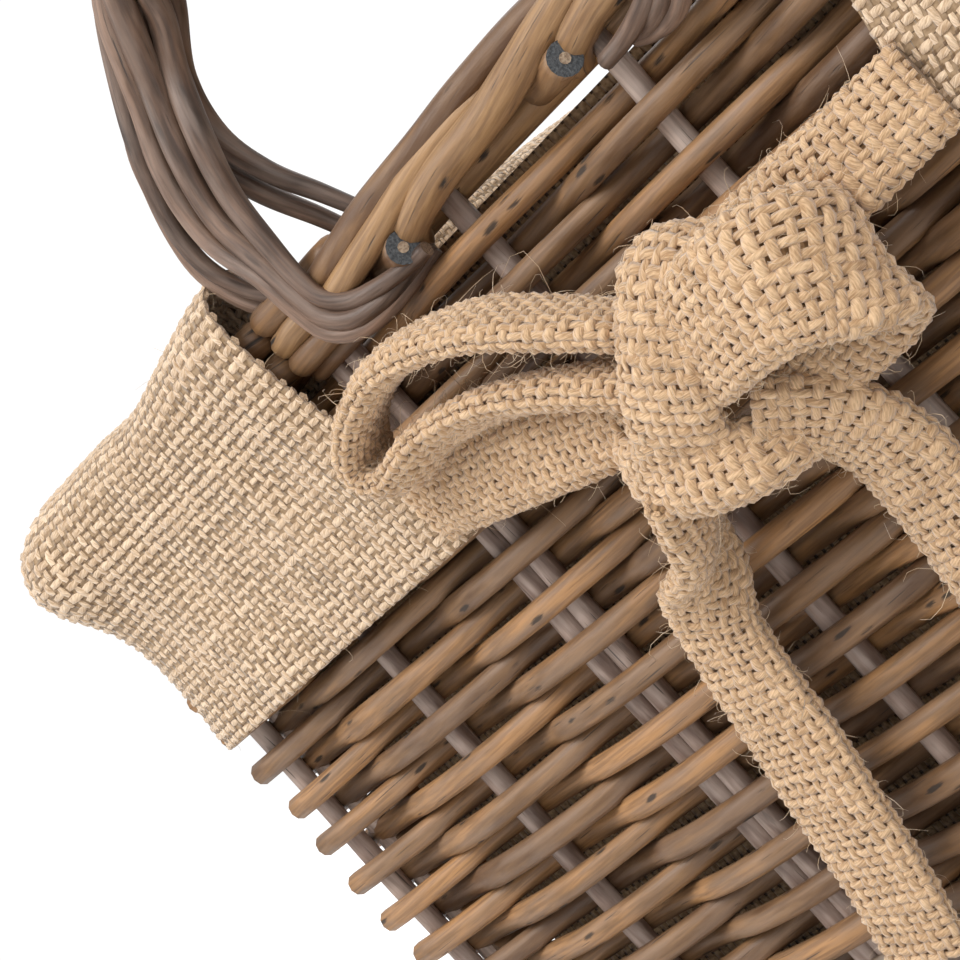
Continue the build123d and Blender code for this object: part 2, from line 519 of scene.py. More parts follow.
@dataclass(frozen=True)
class CutEndFinish:
    """Weathered end grain with a pale pith."""

    name: str
    rim: Color
    ring: Color

    def make(self) -> bpy.types.Material:
        """Build the end-grain material."""
        material = bpy.data.materials.new(self.name)
        material.use_nodes = True
        graph = Graph(material.node_tree)
        shader = material.node_tree.nodes["Principled BSDF"]
        grain = graph.node("ShaderNodeAttribute", attribute_name="grain").outputs["Vector"]
        mottled = graph.noise(grain, 2.5, 4.0)
        colour = graph.mix(graph.ramp(mottled, 0.35, 0.65), (*self.rim, 1), (*self.ring, 1))
        graph.link(colour, shader.inputs["Base Color"])
        shader.inputs["Roughness"].default_value = 0.75
        bump = graph.node("ShaderNodeBump")
        bump.inputs["Distance"].default_value = 0.0003
        graph.link(mottled, bump.inputs["Height"])
        graph.link(bump.outputs[0], shader.inputs["Normal"])
        return material


@dataclass(frozen=True)
class JuteFinish:
    """Colours of jute yarn."""

    name: str
    dark: Color
    light: Color
    sheen: float = 0.5

    def make(self, group: bpy.types.NodeTree) -> bpy.types.Material:
        """Build the yarn material on the shared fibre group."""
        material = bpy.data.materials.new(self.name)
        material.use_nodes = True
        graph = Graph(material.node_tree)
        shader = material.node_tree.nodes["Principled BSDF"]
        jute = graph.node("ShaderNodeGroup")
        jute.node_tree = group
        graph.link(graph.node("ShaderNodeAttribute", attribute_name="grain").outputs["Vector"],
                   jute.inputs["Grain"])
        graph.link(graph.node("ShaderNodeAttribute", attribute_name="tint").outputs["Fac"],
                   jute.inputs["Tint"])
        jute.inputs["Dark"].default_value = (*self.dark, 1)
        jute.inputs["Light"].default_value = (*self.light, 1)
        graph.link(jute.outputs["Color"], shader.inputs["Base Color"])
        bump = graph.node("ShaderNodeBump")
        bump.inputs["Strength"].default_value = 0.9
        bump.inputs["Distance"].default_value = 0.0003
        graph.link(jute.outputs["Height"], bump.inputs["Height"])
        graph.link(bump.outputs[0], shader.inputs["Normal"])
        shader.inputs["Roughness"].default_value = 0.9
        shader.inputs["Specular IOR Level"].default_value = 0.15
        shader.inputs["Sheen Weight"].default_value = self.sheen
        return material


@dataclass(frozen=True)
class SheetFinish:
    """Plain-weave cloth drawn on the cloth's own UV map, one unit to the millimetre, with painted shade in
    its gaps and on the low sides of its yarns.
    """

    name: str
    dark: Color
    light: Color
    # Painted shade colour for the gaps between the yarns.
    hole_shade: Color
    pitch: float = 1.85

    def make(self) -> bpy.types.Material:
        """Build the woven sheet material."""
        material = bpy.data.materials.new(self.name)
        material.use_nodes = True
        graph = Graph(material.node_tree)
        shader = material.node_tree.nodes["Principled BSDF"]
        uv = graph.node("ShaderNodeUVMap", uv_map="cloth").outputs[0]
        split = graph.node("ShaderNodeSeparateXYZ")
        graph.link(uv, split.inputs[0])
        step = math.pi / self.pitch
        across = graph.math("SINE", graph.math("MULTIPLY", split.outputs[0], step))
        along = graph.math("SINE", graph.math("MULTIPLY", split.outputs[1], step))
        weft = graph.math("ABSOLUTE", across)
        warp = graph.math("ABSOLUTE", along)
        flip = graph.math("MULTIPLY", across, along)
        over = graph.ramp(flip, -0.2, 0.2)
        crown = graph.mix(over, weft, warp)
        height = graph.math("MAXIMUM", weft, warp)
        # Painted shade: the gaps between the yarns take the dark colour given for the holes, standing for the
        # shadow seen through the weave.
        hole_shade_mask = graph.ramp(height, 0.62, 0.4)
        fuzz = graph.noise(uv, 1.2, 4.0)
        base = graph.mix(graph.ramp(fuzz, 0.3, 0.7), (*self.dark, 1), (*self.light, 1))
        # Painted shade: the low sides of each yarn crossing are darkened towards the dark colour.
        base = graph.mix(graph.math("MULTIPLY", graph.ramp(crown, 0.8, 0.2), 0.45), base, (*self.dark, 1))
        base = graph.mix(hole_shade_mask, base, (*self.hole_shade, 1))
        graph.link(base, shader.inputs["Base Color"])
        bump = graph.node("ShaderNodeBump")
        bump.inputs["Strength"].default_value = 0.8
        bump.inputs["Distance"].default_value = 0.0005
        graph.link(graph.math("ADD", crown, graph.math("MULTIPLY", fuzz, 0.4)), bump.inputs["Height"])
        graph.link(bump.outputs[0], shader.inputs["Normal"])
        shader.inputs["Roughness"].default_value = 0.92
        shader.inputs["Specular IOR Level"].default_value = 0.1
        shader.inputs["Sheen Weight"].default_value = 0.3
        return material


class Finishes:
    """Every material, made once."""

    def __init__(self) -> None:
        """Build the shared groups and the materials."""
        bark = willow_group()
        jute = jute_group()
        self.weaver = WillowFinish("Willow weaver", (0.095, 0.044, 0.018), (0.235, 0.125, 0.053),
                                   (0.42, 0.215, 0.084), (0.28, 0.185, 0.125), 0.38).make(bark)
        self.stake = WillowFinish("Willow stake", (0.17, 0.105, 0.076), (0.36, 0.25, 0.20),
                                  (0.60, 0.46, 0.38), (0.60, 0.48, 0.41), 0.6, 0.3).make(bark)
        self.border = WillowFinish("Willow border", (0.10, 0.045, 0.018), (0.235, 0.122, 0.050),
                                   (0.37, 0.21, 0.092), (0.32, 0.215, 0.135), 0.22, 1.0).make(bark)
        # The handle's near-black dark tone is painted shade: it stands for the shaded slits between the
        # strands and falls as dark streaks and patches along them.
        self.handle = WillowFinish("Willow handle", (0.022, 0.012, 0.008), (0.115, 0.064, 0.040),
                                   (0.26, 0.155, 0.102), (0.33, 0.24, 0.19), 0.36, 0.35).make(bark)
        self.wale = WillowFinish("Willow wale", (0.10, 0.062, 0.040), (0.20, 0.135, 0.09),
                                 (0.34, 0.245, 0.17), (0.33, 0.275, 0.23), 0.6, 0.4).make(bark)
        self.cut = CutEndFinish("Willow cut end", (0.16, 0.10, 0.06), (0.30, 0.20, 0.13)).make()
        self.grey_cut = CutEndFinish("Weathered cut end", (0.04, 0.045, 0.05), (0.09, 0.095, 0.10)).make()
        self.pith = CutEndFinish("Willow pith", (0.25, 0.17, 0.11), (0.4, 0.3, 0.21)).make()
        self.jute = JuteFinish("Hessian yarn", (0.43, 0.275, 0.155), (0.86, 0.655, 0.455)).make(jute)
        self.bow = JuteFinish("Hessian bow yarn", (0.40, 0.232, 0.112), (0.80, 0.555, 0.335)).make(jute)
        self.fuzz = JuteFinish("Stray fibre", (0.48, 0.33, 0.19), (0.80, 0.62, 0.42)).make(jute)
        # The sheets under the cuff and bow yarns are darker than the yarns: painted shade that shows through
        # the gaps between them.
        self.core = SheetFinish("Hessian", (0.24, 0.155, 0.085), (0.38, 0.26, 0.155),
                                (0.15, 0.09, 0.048)).make()
        self.bow_core = SheetFinish("Hessian bow", (0.30, 0.175, 0.085), (0.46, 0.29, 0.155),
                                    (0.20, 0.115, 0.055)).make()
        # The lining is darker than the cuff's yarns of the same hessian, with near-black holes: painted shade
        # for the inside of the basket.
        self.lining = SheetFinish("Hessian lining with painted shade", (0.25, 0.15, 0.075), (0.52, 0.36, 0.21),
                                  (0.07, 0.04, 0.022)).make()


# ------------------------------------------------------------------ willow
@dataclass
class Wicker:
    """Stakes, weavers, foot wale, base and border of the basket."""

    finishes: Finishes
    half_x: float = 133.0
    half_y: float = 95.0
    pitch: float = 38.0
    end_pitch: float = 33.2
    first_row: float = 15.1
    row_step: float = 4.2
    rows: int = 29
    weaver_r: float = 2.12
    stake_r: float = 2.0
    reach: float = 3.7
    wale_rows: Tuple[float, ...] = (2.75, 7.1, 11.3)
    doubled: float = 54.1
    post_at: float = 131.5
    post_r: float = 2.1
    post_sunk: float = -4.2

    def wall_point(self, along: Array, out: Array, z: Array, end: bool, side: float) -> Array:
        """Place points on a wall.

        Args:
            along: distance along the wall from its middle.
            out: distance outward from the stake plane.
            z: height.
            end: true on an end wall.
            side: 1 for front or left, -1 for the opposite wall.

        Returns:
            The points as rows.
        """
        if end:
            points = np.stack([-(self.half_x + out), -along, z], 1)
        else:
            points = np.stack([along, -(self.half_y + out), z], 1)
        return points if side > 0 else turn_half(points)

    def weavers(self, name: str, end: bool, side: Side, seed: int, nodes: Sequence[str]) -> None:
        """Weave one wall over one and under one.

        Args:
            name: piece name.
            end: true on an end wall.
            side: which of the two opposite walls.
            seed: random seed.
            nodes: CAD nodes that the piece replaces.
        """
        rng = np.random.default_rng(seed)
        step = self.end_pitch if end else self.pitch
        reach_to = 88.6 if end else self.half_x + 2.4
        phase0 = 83.0 if end else self.half_x
        rings = 49 if end else 65
        tubes = []
        for row in range(self.rows):
            sign = 1.0 if row % 2 else -1.0
            low = -reach_to - (rng.uniform(-0.6, 1.4) if not end else 0)
            high = reach_to + (rng.uniform(-0.6, 1.4) if not end else 0)
            if sign < 0 and not end:
                low, high = low + 1.0, high - 1.0
            if end:
                low, high = (low, high + 2.9) if sign > 0 else (low - 2.9, high)
            along = np.linspace(low, high, rings)
            wave = np.cos(np.pi * (along + phase0) / step)
            wave = np.sign(wave) * np.abs(wave) ** 0.8
            out = sign * self.reach * wave * (1 + wander(rng, rings, 0.07, 14))
            z = self.first_row + self.row_step * row + rng.uniform(-0.2, 0.2)
            lift = wander(rng, rings, 0.28, 9)
            radius = self.weaver_r * rng.uniform(0.95, 1.07)
            line = self.wall_point(along, out, np.full(rings, z) + lift, end, side.value)
            tubes.append(rod(line, radius, rng, taper=0.09 * sign * rng.uniform(0.2, 1), uneven=0.06))
        piece = TubeMesher(10, rings).build(name, tubes)
        place(piece, Body.BASKET, [self.finishes.weaver, self.finishes.cut], nodes)

    def stakes(self, name: str, end: bool, side: Side, seed: int, nodes: Sequence[str]) -> None:
        """Stand the stakes of one wall.

        Args:
            name: piece name.
            end: true on an end wall.
            side: which of the two opposite walls.
            seed: random seed.
            nodes: CAD nodes that the piece replaces.
        """
        rng = np.random.default_rng(seed)
        if end:
            spots = [(-83.0 + self.end_pitch * i, self.stake_r) for i in range(6)]
        else:
            spots = [(-self.half_x + self.pitch * i, self.stake_r) for i in range(8)]
            spots = [(math.copysign(self.doubled, x) if abs(abs(x) - 57) < 1 else x, r) for x, r in spots]
            spots += [(-58.6, 2.2), (58.6, 2.2), (-self.post_at, self.post_r), (self.post_at, self.post_r)]
        rings = 19
        tubes = []
        for spot, radius in spots:
            z = np.linspace(3.0, 142.0, rings)
            along = spot + wander(rng, rings, 0.35, 6)
            sunk = self.post_sunk if abs(abs(spot) - self.post_at) < 0.1 else 0.0
            line = self.wall_point(along, sunk + wander(rng, rings, 0.2, 6), z, end, side.value)
            tubes.append(rod(line, radius, rng, taper=-0.1))
        piece = TubeMesher(12, rings).build(name, tubes)
        place(piece, Body.BASKET, [self.finishes.stake, self.finishes.cut], nodes)

    def wale(self, name: str, end: bool, side: Side, seed: int, nodes: Sequence[str]) -> None:
        """Twist three thin rods in each row of the foot wale.

        Args:
            name: piece name.
            end: true on an end wall.
            side: which of the two opposite walls.
            seed: random seed.
            nodes: CAD nodes that the piece replaces.
        """
        rng = np.random.default_rng(seed)
        step = self.end_pitch if end else self.pitch
        reach_to = 87.0 if end else self.half_x + 2.0
        rings = 61
        tubes = []
        for row, height in enumerate(self.wale_rows):
            for strand in range(3):
                along = np.linspace(-reach_to, reach_to, rings)
                turn = 2 * np.pi * (along / (3 * step) + strand / 3 + row * 0.17)
                out = 0.6 + 3.4 * np.cos(turn)
                z = height + 1.05 * np.sin(turn) + wander(rng, rings, 0.12, 12)
                line = self.wall_point(along, out, z, end, side.value)
                tubes.append(rod(line, 1.42, rng, uneven=0.05))
        piece = TubeMesher(8, rings).build(name, tubes)
        place(piece, Body.BASKET, [self.finishes.wale, self.finishes.cut], nodes)

    def border(self, name: str, end: bool, side: Side, seed: int, nodes: Sequence[str]) -> None:
        """Lay thick rods along the rim, their ends bent in under each other.

        Args:
            name: piece name.
            end: true on an end wall.
            side: which of the two opposite walls.
            seed: random seed.
            nodes: CAD nodes that the piece replaces.
        """
        rng = np.random.default_rng(seed)
        rings = 41
        tubes: List[Tube] = []
        for lane, size in self.border_plan(end):
            path = smooth_path(lane, rings)
            drift = wander(rng, rings, 0.2, 5)
            line = self.wall_point(path[:, 0], path[:, 1] + 0.5 * drift, path[:, 2] + drift, end, side.value)
            tubes.append(rod(line, size * rng.uniform(0.97, 1.03), rng, uneven=0.05))
        piece = TubeMesher(12, rings).build(name, tubes)
        place(piece, Body.BASKET, [self.finishes.border, self.finishes.cut], nodes)
        if not end:
            self.cut_ends(name + "_cut_ends", side, seed + 7)

    @staticmethod
    def tucked(low: float, high: float, out: float, height: float) -> List[Tuple[float, float, float]]:
        """Return a level lane whose two ends turn inward under the rim.

        Args:
            low: start along the wall.
            high: end along the wall.
            out: distance outward from the stake plane.
            height: height of the lane.

        Returns:
            The points of the lane.
        """
        inward = -3.2 if out > 0 else 2.6
        return [(low + 5.0, out + inward, height - 0.6), (low + 0.8, out + 0.45 * inward, height),
                (low + 0.9, out, height), (low + 6.0, out + 0.25, height),
                (0.62 * low + 0.38 * high, out, height), (0.38 * low + 0.62 * high, out, height),
                (high - 6.0, out + 0.25, height), (high - 0.9, out, height),
                (high - 0.8, out + 0.45 * inward, height), (high - 5.0, out + inward, height - 0.6)]

    @classmethod
    def border_plan(cls, end: bool) -> List[Tuple[List[Tuple[float, float, float]], float]]:
        """Return the lane and radius of each rim rod of a wall.

        Args:
            end: true on an end wall.

        Returns:
            A lane and a radius for each rod.
        """
        if end:
            return [(cls.tucked(-87.5, 87.5, out, z), 3.0) for out in (-3.1, 3.1) for z in (140.2, 146.6)]
        rods = []
        for mirror in (-1.0, 1.0):
            for out, z, size in ((3.6, 147.2, 2.45), (3.7, 142.9, 2.35), (3.6, 138.9, 2.15),
                                 (1.9, 135.9, 1.5)):
                near, far = sorted((mirror * 61.2, mirror * 40.0))
                rods.append((cls.tucked(near, far, out, z), size))
            for out, z in ((3.1, 146.6), (3.1, 140.3), (-3.1, 146.6), (-3.1, 140.3)):
                near, far = sorted((mirror * 132.0, mirror * 64.5))
                rods.append((cls.tucked(near, far, out, z), 2.9))
        rods += [
            ([(-42.0, 2.6, 143.6), (-45.6, 4.2, 144.2), (-46.3, 5.6, 144.6), (-43.5, 6.2, 145.0),
              (-28.0, 5.8, 147.1),
              (-12.0, 4.8, 148.0), (0.0, 3.6, 148.8), (16.0, 2.6, 148.8), (34.0, 2.2, 147.6),
              (47.0, 1.2, 145.0)], 2.5),
            ([(-41.5, 4.0, 140.2), (-45.0, 5.6, 140.9), (-45.9, 7.0, 141.3), (-43.0, 7.7, 141.7),
              (-33.8, 7.4, 142.9),
              (-24.8, 6.8, 144.0), (-15.0, 5.6, 145.6), (-2.0, 3.4, 146.4), (10.0, 1.0, 145.4),
              (20.0, -1.0, 143.0)], 2.3),
            ([(-27.5, 2.0, 139.6), (-25.0, 4.2, 140.5), (-21.5, 5.6, 141.5), (-11.7, 6.2, 142.9),
              (3.0, 6.0, 143.9),
              (19.3, 5.4, 146.2), (31.0, 4.6, 147.6), (40.0, 3.4, 147.4), (47.5, 1.8, 146.0)], 2.95),
            ([(15.5, 2.0, 140.6), (18.0, 4.0, 141.6), (21.5, 5.4, 142.5), (31.0, 6.2, 143.2),
              (40.0, 6.0, 143.0),
              (45.4, 4.8, 142.4), (46.8, 2.4, 141.6)], 2.8),
            (cls.tucked(-62.0, 62.0, -2.7, 146.8), 3.0), (cls.tucked(-62.0, 62.0, -2.9, 141.0), 2.7)]
        return rods

    def cut_ends(self, name: str, side: Side, seed: int) -> None:
        """Set stubs with a weathered end and pale pith below the rim rods.

        Args:
            name: piece name.
            side: which long wall.
            seed: random seed.
        """
        rng = np.random.default_rng(seed)
        rings = 7
        stubs: List[Tube] = []
        piths: List[Tube] = []
        for at, high in ((-24.6, 139.3), (19.2, 140.9)):
            lane = np.array([[at - 13, 0.0, high + 0.9], [at - 6.5, 3.6, high + 0.4], [at, 8.0, high]])
            path = smooth_path(lane, rings)
            line = self.wall_point(path[:, 0], path[:, 1], path[:, 2], False, side.value)
            stubs.append(rod(line, 2.6, rng, uneven=0.02))
            ahead = (line[-1] - line[-2]) / np.linalg.norm(line[-1] - line[-2])
            piths.append(rod(np.linspace(line[-2], line[-1] + ahead * 0.12, rings), 0.85, rng, uneven=0.02))
        place(TubeMesher(16, rings).build(name, stubs), Body.BASKET,
              [self.finishes.border, self.finishes.grey_cut])
        place(TubeMesher(10, rings).build(name + "_pith", piths), Body.BASKET,
              [self.finishes.pith, self.finishes.pith])

    def base(self) -> None:
        """Weave the base over its sticks."""
        rng = np.random.default_rng(31)
        rings = 45
        tubes = []
        for k in range(60):
            x = -124.0 + 248.0 * k / 59
            y = np.linspace(-88.0, 88.0, rings)
            z = 4.5 + (1 if k % 2 else -1) * 2.5 * np.cos(np.pi * y / 25.0)
            line = np.stack([x + wander(rng, rings, 0.3, 9), y, z], 1)
            tubes.append(rod(line, 1.85, rng, uneven=0.05))
        place(TubeMesher(8, rings).build("base_weavers", tubes), Body.BASKET,
              [self.finishes.weaver, self.finishes.cut], ["base_weave"])
        sticks = []
        for y in range(-75, 76, 25):
            line = np.stack([np.linspace(-126.5, 126.5, 21), y + wander(rng, 21, 0.4, 5),
                             np.full(21, 4.5)], 1)
            sticks.append(rod(line, 2.4, rng))
        place(TubeMesher(12, 21).build("base_stick_rods", sticks), Body.BASKET,
              [self.finishes.stake, self.finishes.cut], ["base_sticks"])

    def build(self) -> None:
        """Build every willow part of the walls and base."""
        plan = (("front", False, Side.FRONT, 101), ("back", False, Side.BACK, 202),
                ("left", True, Side.FRONT, 303), ("right", True, Side.BACK, 404))
        for word, end, side, seed in plan:
            self.weavers(word + "_weavers", end, side, seed, [word + "_wall_weave"])
            self.stakes(word + "_stake_rods", end, side, seed + 1, [word + "_stakes"])
            self.wale(word + "_wale_rods", end, side, seed + 2, [word + "_foot_wale"])
            self.border(word + "_border_rods", end, side, seed + 3, [word + "_border"])
        self.base()


@dataclass
class Handle:
    """A twisted willow handle whose strands hook round the border."""

    finishes: Finishes
    side: Side
    radius: float = 58.5
    plane_y: float = -95.0
    spring_z: float = 150.0
    strand_r: float = 2.2
    lay_r: float = 4.7
    turns: float = 1.75
    strands: int = 7

    def arch_point(self, t: Array, phase: float, lay: Array) -> Array:
        """Follow a strand round the arch from left foot to right foot.

        Args:
            t: share of the way round.
            phase: start angle of the strand.
            lay: distance of the strand from the core.

        Returns:
            The points as rows.
        """
        angle = np.pi * (1 - t)
        turn = 2 * np.pi * (self.turns * t) + phase
        centre = np.stack([self.radius * np.cos(angle), np.full(len(t), self.plane_y),
                           self.spring_z + self.radius * np.sin(angle)], 1)
        radial = np.stack([np.cos(angle), np.zeros(len(t)), np.sin(angle)], 1)
        return centre + radial * (lay * np.cos(turn))[:, None] + np.array([0, 1, 0]) * (lay
                                                                                        * np.sin(turn))[:,
                                                                                                        None]

    @staticmethod
    def feet() -> List[Tuple[float, List[Tuple[float, float, float]]]]:
        """Return the left feet as an angle round the rope and points from the tip upward."""
        return [
            (193.0, [(-55.5, -94.0, 141.5), (-58.6, -96.3, 146.5), (-61.9, -97.6, 152.0), (-64.2, -97.9,
                                                                                           159.0),
                     (-64.0, -97.4, 165.5), (-61.4, -96.6, 173.5), (-56.6, -95.6, 182.0)]),
            (240.0, [(-50.5, -95.5, 142.5), (-54.0, -97.8, 147.5), (-57.6, -99.6, 152.5), (-60.0, -100.4,
                                                                                           159.0),
                     (-59.6, -100.7, 165.5), (-56.6, -100.6, 173.5), (-51.6, -99.6, 182.5)]),
            (287.0, [(-25.5, -97.0, 136.4), (-30.0, -99.8, 135.2), (-35.2, -102.6, 134.5), (-40.4, -104.8,
                                                                                            135.2),
                     (-44.6, -105.8, 138.4), (-46.4, -105.8, 143.8), (-48.2, -105.0, 151.0), (-52.6, -103.4,
                                                                                              161.5),
                     (-51.6, -102.0, 173.0), (-47.2, -100.2, 183.0)]),
            (318.0, [(-25.0, -97.8, 137.6), (-29.6, -100.4, 136.5), (-34.6, -102.9, 136.2), (-39.6, -104.9,
                                                                                             137.2),
                     (-43.2, -105.5, 140.4), (-44.9, -105.1, 145.0), (-46.6, -104.2, 152.4), (-48.9, -102.8,
                                                                                              162.5),
                     (-47.2, -101.4, 173.0), (-43.8, -99.2, 183.5)]),
            (349.0, [(-22.6, -101.6, 136.9), (-27.6, -102.4, 137.1), (-33.0, -103.3, 137.9), (-38.2, -104.2,
                                                                                              139.4),
                     (-41.8, -104.8, 142.6), (-43.2, -104.4, 147.0), (-44.0, -103.4, 154.0), (-44.6, -101.8,
                                                                                              163.5),
                     (-42.6, -99.9, 173.5), (-41.0, -96.6, 182.5)]),
            (72.0, [(-36.0, -87.6, 141.5), (-39.4, -87.4, 148.0), (-43.6, -87.8, 155.5), (-48.2, -88.8,
                                                                                          164.0),
                    (-49.6, -90.2, 173.0), (-46.0, -91.2, 182.5)]),
            (135.0, [(-42.4, -86.6, 140.5), (-45.0, -86.4, 147.0), (-48.2, -86.8, 153.5), (-53.0, -88.0,
                                                                                           163.0),
                     (-54.6, -90.2, 173.0), (-51.4, -91.6, 182.5)]),
        ]

    def match_feet(self, offsets: Sequence[float]) -> List[List[Tuple[float, float, float]]]:
        """Give each strand the foot nearest to it round the rope, in order."""
        feet = sorted(self.feet(), key=lambda one: one[0] % 360)
        order = sorted(range(len(offsets)), key=lambda k: offsets[k] % 360)
        best: Optional[List[List[Tuple[float, float, float]]]] = None
        least = 1e9
        for shift in range(len(feet)):
            cost = 0.0
            chosen: List[List[Tuple[float, float, float]]] = [[] for _ in offsets]
            for place_at, k in enumerate(order):
                angle, points = feet[(place_at + shift) % len(feet)]
                cost += abs((angle - offsets[k] + 180) % 360 - 180) ** 2
                chosen[k] = points
            if cost < least:
                best, least = chosen, cost
        return best or []

    def strand_lines(self, rings: int) -> List[Array]:
        """Return the centre line of every strand, front handle."""
        rng = np.random.default_rng(57 if self.side is Side.FRONT else 58)
        count = 60
        t = np.linspace(0.235, 0.765, count)
        arches, starts, finishes = [], [], []
        for k in range(self.strands):
            phase = 2 * np.pi * k / self.strands + 0.5
            lay = self.lay_r * (1 + wander(rng, count, 0.16, 7))
            arch = self.arch_point(t, phase + wander(rng, count, 0.16, 5), lay)
            arches.append(arch)
            base = self.arch_point(t, phase, np.zeros(count))
            for at, sign, found in ((0, 1.0, starts), (-1, -1.0, finishes)):
                dx, dy = (arch[at] - base[at])[:2]
                found.append(math.degrees(math.atan2(dy, sign * dx)))
        first, last = self.match_feet(starts), self.match_feet(finishes)
        result = []
        for k, arch in enumerate(arches):
            ending = [(-x, y, z) for x, y, z in last[k]][::-1]
            result.append(smooth_path(np.vstack([np.array(first[k]), arch[3:-3:4], np.array(ending)]), rings))
        return result

    def build(self) -> None:
        """Build the strands and the core."""
        rings = 161
        word = self.side.name.lower()
        rng = np.random.default_rng(77)
        tubes = []
        for line in self.strand_lines(rings):
            line = line if self.side is Side.FRONT else turn_half(line)
            tube = rod(line, self.strand_r * rng.uniform(0.93, 1.06), rng, uneven=0.08, normal=(0.05, 1.0,
                                                                                                0.1))
            thin = np.minimum(1, 0.52 + 0.48 * np.minimum(np.arange(rings), np.arange(rings)[::-1]) / 34)
            tube.across *= thin
            tube.deep = tube.across
            tubes.append(tube)
        nodes = [word + "_handle_wrap", word + "_left_foot_wrap", word + "_right_foot_wrap"]
        place(TubeMesher(12, rings).build(word + "_handle_strands", tubes), Body.BASKET,
              [self.finishes.handle, self.finishes.cut], nodes)
        t = np.linspace(0, 1, 61)
        core = self.arch_point(0.04 + 0.92 * t, 0, np.zeros(61))
        core = core if self.side is Side.FRONT else turn_half(core)
        place(TubeMesher(10, 61).build(word + "_handle_core_rod",
                                       [rod(core, 2.3, rng, normal=(0.05, 1.0, 0.1))]),
              Body.BASKET, [self.finishes.handle, self.finishes.cut], [word + "_handle_core"])


# ----------------------------------------------------------------- hessian
@dataclass
class Surface:
    """A cloth surface as a grid of points, u across rows and v across columns."""

    grid: Array
    closed: bool = False
    flip: bool = False

    def __post_init__(self) -> None:
        """Work out the directions and normals."""
        if self.closed:
            ring = np.concatenate([self.grid[-2:-1], self.grid, self.grid[1:2]])
            self.du = unit((ring[2:] - ring[:-2]))
        else:
            self.du = unit(np.gradient(self.grid, axis=0))
        self.dv = unit(np.gradient(self.grid, axis=1))
        nu, nv = self.grid.shape[:2]
        self.rate_u = np.linalg.norm(np.gradient(self.grid, axis=0), axis=2, keepdims=True) * (nu - 1)
        self.rate_v = np.linalg.norm(np.gradient(self.grid, axis=1), axis=2, keepdims=True) * (nv - 1)
        self.normal = unit(np.cross(self.du, self.dv)) * (-1 if self.flip else 1)

    def at(self, data: Array, u: Array, v: Array) -> Array:
        """Read grid data at fractions u and v.

        Args:
            data: grid data.
            u: fractions across rows.
            v: fractions across columns.

        Returns:
            The data at each place.
        """
        nu, nv = data.shape[:2]
        x = (u % 1.0 if self.closed else np.clip(u, 0, 1)) * (nu - 1)
        y = np.clip(v, 0, 1) * (nv - 1)
        i = np.minimum(x.astype(int), nu - 2)
        j = np.minimum(y.astype(int), nv - 2)
        fx, fy = (x - i)[:, None], (y - j)[:, None]
        return ((data[i, j] * (1 - fx) + data[i + 1, j] * fx) * (1 - fy)
                + (data[i, j + 1] * (1 - fx) + data[i + 1, j + 1] * fx) * fy)

    def lengths(self) -> Tuple[float, float]:
        """Return the mean lengths along u and v."""
        along_u = np.linalg.norm(np.diff(self.grid, axis=0), axis=2).sum(0).mean()
        along_v = np.linalg.norm(np.diff(self.grid, axis=1), axis=2).sum(1).mean()
        return float(along_u), float(along_v)

    def sheet(self, name: str, sink: float) -> bpy.types.Object:
        """Build the cloth itself, sunk a little below the yarns.

        Args:
            name: object name.
            sink: distance below the surface.

        Returns:
            The new object, at the origin, with its flat pattern as a UV map.
        """
        nu, nv = self.grid.shape[:2]
        bm = bmesh.new()
        bmesh.ops.create_grid(bm, x_segments=nu - 1, y_segments=nv - 1, size=0.5)
        flat = np.array([v.co[:] for v in bm.verts])
        i = np.rint((flat[:, 0] + 0.5) * (nu - 1)).astype(int)
        j = np.rint((flat[:, 1] + 0.5) * (nv - 1)).astype(int)
        spots = (self.grid[i, j] - self.normal[i, j] * sink) * MM
        len_u, len_v = self.lengths()
        uv = bm.loops.layers.uv.new("cloth")
        for face in bm.faces:
            face.smooth = True
            for loop in face.loops:
                loop[uv].uv = ((loop.vert.co.x + 0.5) * len_u, (loop.vert.co.y + 0.5) * len_v)
        for vert, spot in zip(bm.verts, spots):
            vert.co = spot
        if self.closed:
            bmesh.ops.remove_doubles(bm, verts=bm.verts, dist=1e-6)
            rims = [e for e in bm.edges if e.is_boundary]
            bmesh.ops.holes_fill(bm, edges=rims, sides=0)
            bmesh.ops.recalc_face_normals(bm, faces=bm.faces)
        elif self.flip:
            bmesh.ops.reverse_faces(bm, faces=bm.faces)
        mesh = bpy.data.meshes.new(name)
        bm.to_mesh(mesh)
        bm.free()
        piece = bpy.data.objects.new(name, mesh)
        bpy.context.scene.collection.objects.link(piece)
        return piece


